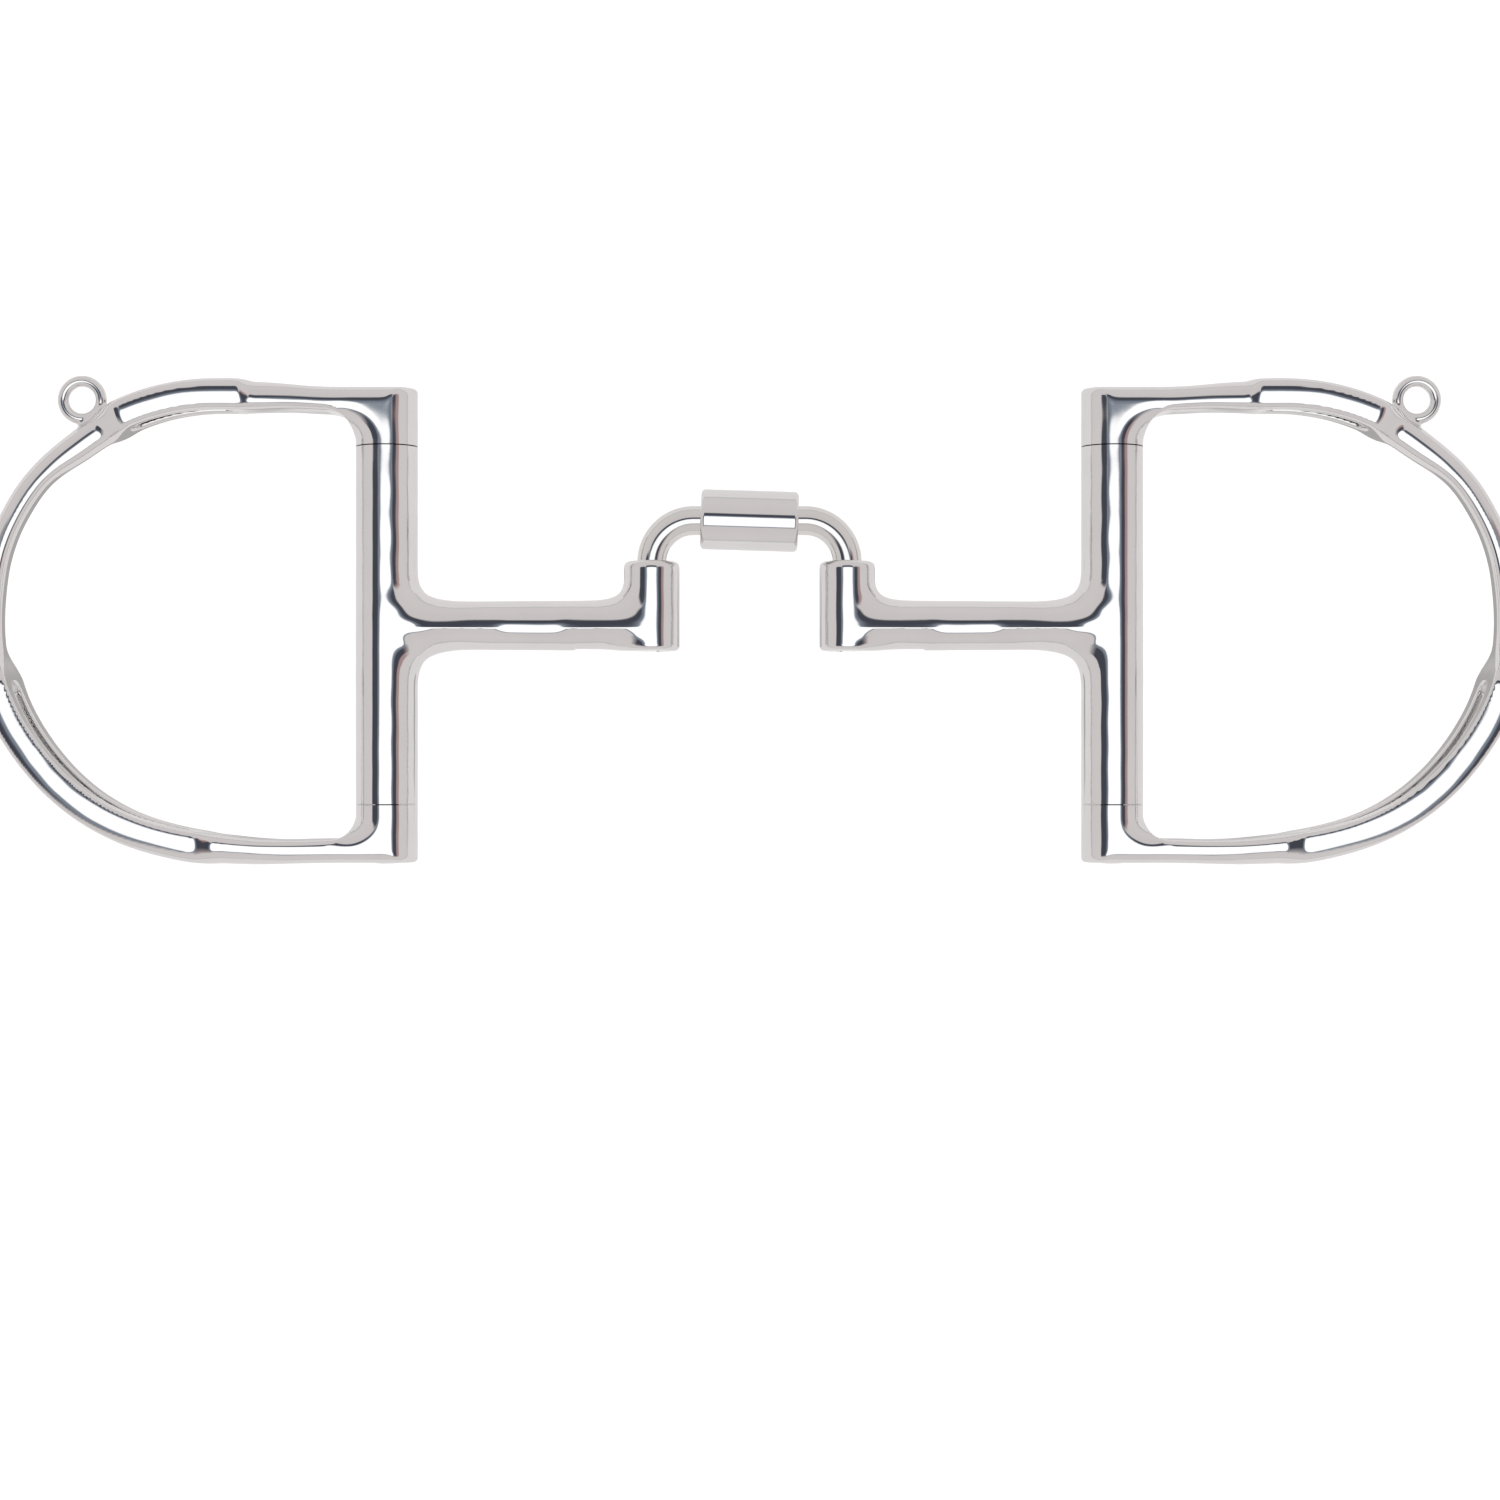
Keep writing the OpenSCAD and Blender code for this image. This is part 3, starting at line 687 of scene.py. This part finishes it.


# %% [markdown]
# ## Finishes
# Every piece is stainless steel under a mirror polish, so its colour is mostly what it reflects.
# What tells the pieces apart is small: how warm the metal is, how far the wheel took the polish,
# and faint hairlines and ripples. A noise pattern on Object coordinates varies the roughness, so
# highlights aren't equally sharp everywhere, and a shallow Bump gives the ripples. Scales are per
# millimetre. A painted shade darkens the seam between each barrel and knuckle: a near-black band
# of base colour stands in for the shade in the gap.

# %% Steel finishes
CLOUD_SCALE, RIPPLE_SCALE, RIPPLE_DEPTH = 0.11, 0.35, 0.004
PALER, DARKER = 1.03, 0.95
# The last colour is a painted shade, the near-black band laid on each barrel-knuckle seam
SEAM_HALF, SEAM_REACH, PAINTED_SEAM_SHADE = 0.11, 20, (0.05, 0.05, 0.05, 1)
PLAIN_STEEL = (0.80, 0.79, 0.785)


def mixed(mask, first, second):
    """The first colour where the mask is 0 and the second where it is 1."""
    return mask.node("ShaderNodeMix", {"data_type": "RGBA"}, {0: mask, 6: first, 7: second}, 2)


def steel(name, colour, roughness, hairlines, squeeze):
    """Polished steel, whose hairlines run across the axis along which they are squeezed most."""
    finish = bpy.data.materials.new(name)
    finish.use_nodes = True
    finish.diffuse_color = (*colour, 1)
    tree = finish.node_tree
    shader = tree.nodes["Principled BSDF"]
    start = Wire(tree, tree.nodes.new("ShaderNodeTexCoord").outputs["Object"])
    mm = start.node("ShaderNodeVectorMath", {"operation": "SCALE"}, {0: start, "Scale": 1 / MM})
    clouds = mm.node("ShaderNodeTexNoise", {}, {
        "Vector": mm, "Scale": CLOUD_SCALE, "Detail": 3.0, "Roughness": 0.55})
    stretched = mm.node("ShaderNodeVectorMath", {"operation": "MULTIPLY"}, {0: mm, 1: squeeze})
    lines = mm.node("ShaderNodeTexNoise", {}, {
        "Vector": stretched, "Scale": 1.0, "Detail": 4.0, "Roughness": 0.7})
    ripples = mm.node("ShaderNodeTexNoise", {}, {
        "Vector": mm, "Scale": RIPPLE_SCALE, "Detail": 1.0, "Roughness": 0.4})
    gloss = roughness * (0.75 + 0.5 * clouds) + hairlines * (lines - 0.5)
    paler = tuple(min(1, c * PALER) for c in colour)
    darker = tuple(c * DARKER for c in colour)
    tint = mixed(clouds, (*darker, 1), (*paler, 1))
    x, y = (mm.node("ShaderNodeSeparateXYZ", {}, {0: mm}, n) for n in range(2))
    # Painted shade: a thin near-black band at each barrel-knuckle seam stands in for the dark gap
    from_seam = abs(abs(y - axis_y) - (BARREL_HALF + KNUCKLE_IN) / 2)
    near_hinge = x.math("LESS_THAN", abs(x), hinge_x + SEAM_REACH)
    painted_seam_mask = from_seam.math("LESS_THAN", from_seam, SEAM_HALF) * near_hinge
    tint = mixed(painted_seam_mask, tint, PAINTED_SEAM_SHADE)
    height = ripples + 0.25 * lines
    bump = height.node("ShaderNodeBump", {}, {
        "Height": height, "Strength": 1.0, "Distance": RIPPLE_DEPTH * MM})
    for wire, socket in ((tint, "Base Color"), (gloss, "Roughness"), (bump, "Normal")):
        tree.links.new(wire.socket, shader.inputs[socket])
    shader.inputs["Metallic"].default_value = 1.0
    return finish


RING_STEEL = steel("ring_steel", PLAIN_STEEL, 0.055, 0.02, (0.8, 0.8, 2.5))
MOUTH_STEEL = steel("mouth_steel", PLAIN_STEEL, 0.05, 0.02, (2.5, 0.8, 0.8))
ROD_STEEL = steel("rod_steel", (0.78, 0.77, 0.755), 0.07, 0.03, (1.2, 1.2, 1.2))
ROLLER_STEEL = steel("roller_steel", (0.80, 0.79, 0.79), 0.055, 0.03, (6.0, 0.4, 0.4))
PIN_STEEL = steel("pin_steel", (0.62, 0.62, 0.64), 0.22, 0.10, (0.3, 8.0, 0.3))
print("finishes:", [m.name for m in bpy.data.materials])

# %% [markdown]
# ## Port rod, roller, pins and plugs
# The port is one round rod bent twice: a path of four points whose corners are rounded, with a
# circle swept along it. Each leg ends in a tenon with a riveted head inside its socket, and since
# that end comes twice, it is made once and put on two points.

# %% Rod tree
TENON_SHARE, HEAD_NECK, HEAD_RIM = 0.75, 0.97, 1.21
TENON_LONG, HEAD_LONG, TENON_AT, HEAD_AT = 0.81, 1.0, -0.4, -1.4
BEND_STEPS, ROD_STEPS, TENON_STEPS = 24, 64, 48

half_width, rise, shoulder, bend, rod_wire, finish = new_tree(
    "bent rod", ["Half Width", "Rise", "Shoulder", "Bend Radius", "Rod Radius"])
path = rise.node("GeometryNodeCurvePrimitiveQuadrilateral", {"mode": "POINTS"}, {
    "Point 1": point(half_width * -1, shoulder), "Point 2": point(half_width * -1, rise),
    "Point 3": point(half_width, rise), "Point 4": point(half_width, shoulder)})
path = path.node("GeometryNodeSetSplineCyclic", {}, {"Geometry": path, "Cyclic": False})
path = path.node("GeometryNodeFilletCurve", {"mode": "POLY"}, {
    "Curve": path, "Count": BEND_STEPS, "Radius": bend, "Limit Radius": True})
circle = path.node("GeometryNodeCurvePrimitiveCircle", {"mode": "RADIUS"}, {
    "Resolution": ROD_STEPS, "Radius": rod_wire})
rod_mesh = path.node("GeometryNodeCurveToMesh", {}, {
    "Curve": path, "Profile Curve": circle, "Fill Caps": True})
tenon = path.node("GeometryNodeMeshCylinder", {}, {
    "Vertices": TENON_STEPS, "Radius": rod_wire * TENON_SHARE, "Depth": TENON_LONG * MM})
head = path.node("GeometryNodeMeshCone", {}, {
    "Vertices": TENON_STEPS, "Radius Bottom": rod_wire * HEAD_NECK, "Radius Top": rod_wire * HEAD_RIM,
    "Depth": HEAD_LONG * MM})
head = head.node("GeometryNodeTransform", {}, {"Geometry": head, "Translation": (0, 0, HEAD_AT * MM)})
tenon = tenon.node("GeometryNodeTransform", {}, {"Geometry": tenon, "Translation": (0, 0, TENON_AT * MM)})
leg_end = tenon.node("GeometryNodeJoinGeometry", {}, {0: tenon})
head.tree.links.new(head.socket, leg_end.socket.node.inputs[0])
ends = path.node("GeometryNodeMeshLine", {}, {
    "Count": 2, "Start Location": point(half_width * -1, shoulder),
    "Offset": point(half_width * 2, 0 * rise)})
ends = ends.node("GeometryNodeInstanceOnPoints", {}, {
    "Points": ends, "Instance": leg_end, "Rotation": (-math.pi / 2, 0, 0)})
whole_rod = ends.node("GeometryNodeJoinGeometry", {}, {0: ends})
rod_mesh.tree.links.new(rod_mesh.socket, whole_rod.socket.node.inputs[0])
end_tree(whole_rod, finish)
print("rod tree:", len(rise.tree.nodes), "nodes")

# %% Make the port
ALONG_X = np.array([[0, 0, 1], [0, 1, 0], [-1, 0, 0.0]])
ALONG_Y = np.array([[1, 0, 0], [0, 0, 1], [0, -1, 0.0]])
ROLLER_TILT = math.radians(-1.75)
SHOULDER, BEND_R = -1.6, 8.0
ROLLER_BORE_R, ROLLER_RIM = 3.1, 0.8

port_rod = grown("port_rod_bent", rise.tree, {
    "Half Width": leg_x, "Rise": roller_mid[1] - axis_y, "Shoulder": SHOULDER,
    "Bend Radius": BEND_R, "Rod Radius": rod_r}, ROD_STEEL, middle=(0, axis_y, axis_z))
tilt = np.array([[math.cos(ROLLER_TILT), -math.sin(ROLLER_TILT), 0],
                 [math.sin(ROLLER_TILT), math.cos(ROLLER_TILT), 0], [0, 0, 1]])
roller = grown("roller_turned", turning, {
    "Outer Radius": (roller_high[2] - roller_low[2]) / 2, "Bore Radius": ROLLER_BORE_R,
    "Length": roller_high[0] - roller_low[0], "Rim": ROLLER_RIM}, ROLLER_STEEL, tilt @ ALONG_X, roller_mid)

# %% Make the pins and plugs
PIN_RIM, PLUG_RIM = 0.25, 0.15

pins, plugs = {}, {}
for side, sign in (("right", 1), ("left", -1)):
    pins[side] = grown(side + "_pin_turned", turning, {
        "Outer Radius": pin_r, "Bore Radius": 0, "Length": pin_high[1] - pin_low[1], "Rim": PIN_RIM},
        PIN_STEEL, ALONG_Y, pin_mid * (sign, 1, 1))
    plugs[side] = grown(side + "_plug_turned", turning, {
        "Outer Radius": (plug_high[0] - plug_low[0]) / 2, "Bore Radius": 0,
        "Length": plug_high[1] - plug_low[1], "Rim": PLUG_RIM}, MOUTH_STEEL, ALONG_Y, plug_mid * (sign, 1, 1))

# %% [markdown]
# ## Who moves with whom
# Each piece rides on a body of the frame, so that it moves at every pose, and stands for the plain
# solid that it replaces. The washers inside the sockets keep their solids and only get a finish.

# %% Dress the frame
DRESS = [
    (port_rod, "port", "port_rod", "rod_steel", ROD_STEEL),
    (roller, "roller", "roller", "roller_steel", ROLLER_STEEL),
    (left_arm, "left_arm", "left_arm", "mouth_steel", MOUTH_STEEL),
    (right_arm, "right_arm", "right_arm", "mouth_steel", MOUTH_STEEL),
    (plugs["left"], "left_arm", "left_socket_plug", "mouth_steel", MOUTH_STEEL),
    (plugs["right"], "right_arm", "right_socket_plug", "mouth_steel", MOUTH_STEEL),
    (left_ring, "left_ring", "left_ring", "ring_steel", RING_STEEL),
    (right_ring, "right_ring", "right_ring", "ring_steel", RING_STEEL),
    (left_loop, "left_ring", "left_curb_loop", "ring_steel", RING_STEEL),
    (right_loop, "right_ring", "right_curb_loop", "ring_steel", RING_STEEL),
    (pins["left"], "left_ring", "left_cheek_pin", "pin_steel", PIN_STEEL),
    (pins["right"], "right_ring", "right_cheek_pin", "pin_steel", PIN_STEEL),
]
for piece, body, node, slot, finish in DRESS:
    piece.data.materials.clear()
    piece.data.materials.append(finish)
    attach(piece, body)
    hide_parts(node)
for node in ("left_leg_washer", "right_leg_washer"):
    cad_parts[node].data.materials.clear()
    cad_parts[node].data.materials.append(PIN_STEEL)
print("pieces:", len(DRESS), "and 2 washers")

# %% [markdown]
# ## The studio
# Polished metal shows the room more than itself. A wide white softbox hangs above the bit with
# dark flags round it, which draw the thin black lines that give the steel its shape, and the walls
# are a warm grey. All of that is in the world, as colours by direction. The camera itself sees a
# white room, and the white floor keeps only the soft shadow of the bit. The floor lies so low that
# an arm folded straight down, with its ring, still swings clear of it. Under each ring the floor
# has a painted shadow, a darker patch that the steel reflects and the camera doesn't see.

# %% World
HORIZON = 0.05

world = bpy.data.worlds.new("studio")
bpy.context.scene.world = world
world.use_nodes = True
sky = world.node_tree
sky.nodes.clear()
toward = Wire(sky, sky.nodes.new("ShaderNodeTexCoord").outputs["Generated"])
east, north, up = (toward.node("ShaderNodeSeparateXYZ", {}, {0: toward}, n) for n in range(3))
above = up.math("MAXIMUM", up, HORIZON)
east, north = east / above, north / above


# %% Softbox, flags and walls
CEILING_LOW, PANEL_ROUND = 0.1, 0.45
WARM_WALL, FLAG = (0.44, 0.31, 0.31, 1), (0.065, 0.070, 0.090, 1)
SOFTBOX_RIM, SOFTBOX = (0.24, 0.28, 0.34, 1), (1.30, 1.31, 1.33, 1)
WHITE, BLACK = (1, 1, 1, 1), (0, 0, 0, 1)


def panel(left, right, low, high, soft):
    """1 inside a rectangle of the ceiling, given by the tangents of its edges' angles."""
    edges = [east - left, right - east, north - low, high - north, up - CEILING_LOW]
    inside = edges[0]
    for edge in edges[1:]:
        inside = inside.math("SMOOTH_MIN", inside, edge, PANEL_ROUND)
    return inside.node("ShaderNodeMapRange", {"interpolation_type": "SMOOTHSTEP"}, {
        "Value": inside, "From Min": -soft, "From Max": soft})


# The walls' grey from the level of the bit up to straight above
walls = up.node("ShaderNodeValToRGB", {"stops": [
    (0.0, (0.66, 0.65, 0.65)), (0.03, (0.60, 0.59, 0.59)), (0.08, (0.72, 0.70, 0.70)),
    (0.45, (0.74, 0.71, 0.705)), (1.0, (0.70, 0.67, 0.67))]}, {0: up})
# The flags and the warm wall fade out towards the near side of the room
fading = north.node("ShaderNodeMapRange", {}, {"Value": north, "From Min": -0.80, "From Max": -0.30})
left_flag, right_flag = panel(-1.15, -0.38, -0.95, 0.21, 0.05), panel(0.38, 0.93, -0.95, 0.21, 0.05)
far_flag = panel(-0.46, 0.46, -0.10, 0.37, 0.04)
flags = fading.math("MAXIMUM", left_flag.math("MAXIMUM", left_flag, right_flag) * fading, far_flag)
room = mixed(panel(0.50, 1.30, -0.90, 0.30, 0.06) * fading, walls, WARM_WALL)
room = mixed(flags, room, FLAG)
room = mixed(panel(-0.54, 0.58, -0.57, 0.18, 0.05), room, SOFTBOX_RIM)
room = mixed(panel(-0.43, 0.48, -0.50, 0.125, 0.02), room, SOFTBOX)
seen = Wire(sky, sky.nodes.new("ShaderNodeLightPath").outputs["Is Camera Ray"])
room = mixed(seen, room, WHITE)
room.node("ShaderNodeBackground", {}, {"Color": room, "Strength": 1.0}).into("ShaderNodeOutputWorld")
print("world:", len(sky.nodes), "nodes")

# %% Floor
FLOOR_REACH = 3000
SWING_MARGIN = 10
SHADE_OUT, SHADE_DOWN, SHADE_IN_R, SHADE_OUT_R, SHADE = 4, 8, 22, 38, 0.45
SEEN_GLOW, MIRRORED_GLOW, PAPER = 0.56, 0.25, (0.86, 0.85, 0.84, 1)

floor_mesh = bpy.data.meshes.new("floor")
floor_z = arm_low[2] - (ring_high[0] - leg_x) - SWING_MARGIN
corners = [(across * FLOOR_REACH * MM, away * FLOOR_REACH * MM, floor_z * MM)
           for across, away in ((-1, -1), (1, -1), (1, 1), (-1, 1))]
floor_mesh.from_pydata(corners, [], [(0, 1, 2, 3)])
floor = bpy.data.objects.new("floor", floor_mesh)
bpy.context.scene.collection.objects.link(floor)
paper = bpy.data.materials.new("white_paper")
paper.use_nodes = True
tree = paper.node_tree
tree.nodes.clear()
light_path = tree.nodes.new("ShaderNodeLightPath")
seen, mirrored = (Wire(tree, light_path.outputs[name]) for name in ("Is Camera Ray", "Is Glossy Ray"))
place = Wire(tree, tree.nodes.new("ShaderNodeTexCoord").outputs["Object"])
x, y = (place.node("ShaderNodeSeparateXYZ", {}, {0: place}, n) for n in range(2))
# Painted shadow: a darker disc of paper under each ring, which only glossy rays see
x, y = abs(x) - (bow_x + SHADE_OUT) * MM, y + SHADE_DOWN * MM
squared = x * x + y * y
from_shade = squared.math("SQRT", squared)
shaded = from_shade.node("ShaderNodeMapRange", {"interpolation_type": "SMOOTHSTEP"}, {
    "Value": from_shade, "From Min": SHADE_OUT_R * MM, "From Max": SHADE_IN_R * MM})
shade = mirrored * SHADE * shaded
matt = seen.node("ShaderNodeBsdfDiffuse", {}, {"Color": mixed(shade, PAPER, BLACK)})
glow = seen.node("ShaderNodeEmission", {}, {
    "Color": WHITE, "Strength": seen * SEEN_GLOW + (mirrored - shade) * MIRRORED_GLOW})
both = seen.node("ShaderNodeAddShader", {}, {0: matt, 1: glow})
both.into("ShaderNodeOutputMaterial")
floor_mesh.materials.append(paper)
floor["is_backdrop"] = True
print("floor height, mm:", round(floor_z, 1))

# %% [markdown]
# ## The size of the dressed bit
# The boxes of the solids and of the dressed bit are printed side by side. The dressed bit has
# to fill the same box as the solids.

# %% Finish
bpy.context.view_layer.update()
boxes = {"cad": [list(corner) for corner in cad_box], "visual": [list(corner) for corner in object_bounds()]}
for key, box in boxes.items():
    print(key, "box, mm:", [[round(v / MM, 2) for v in corner] for corner in box])
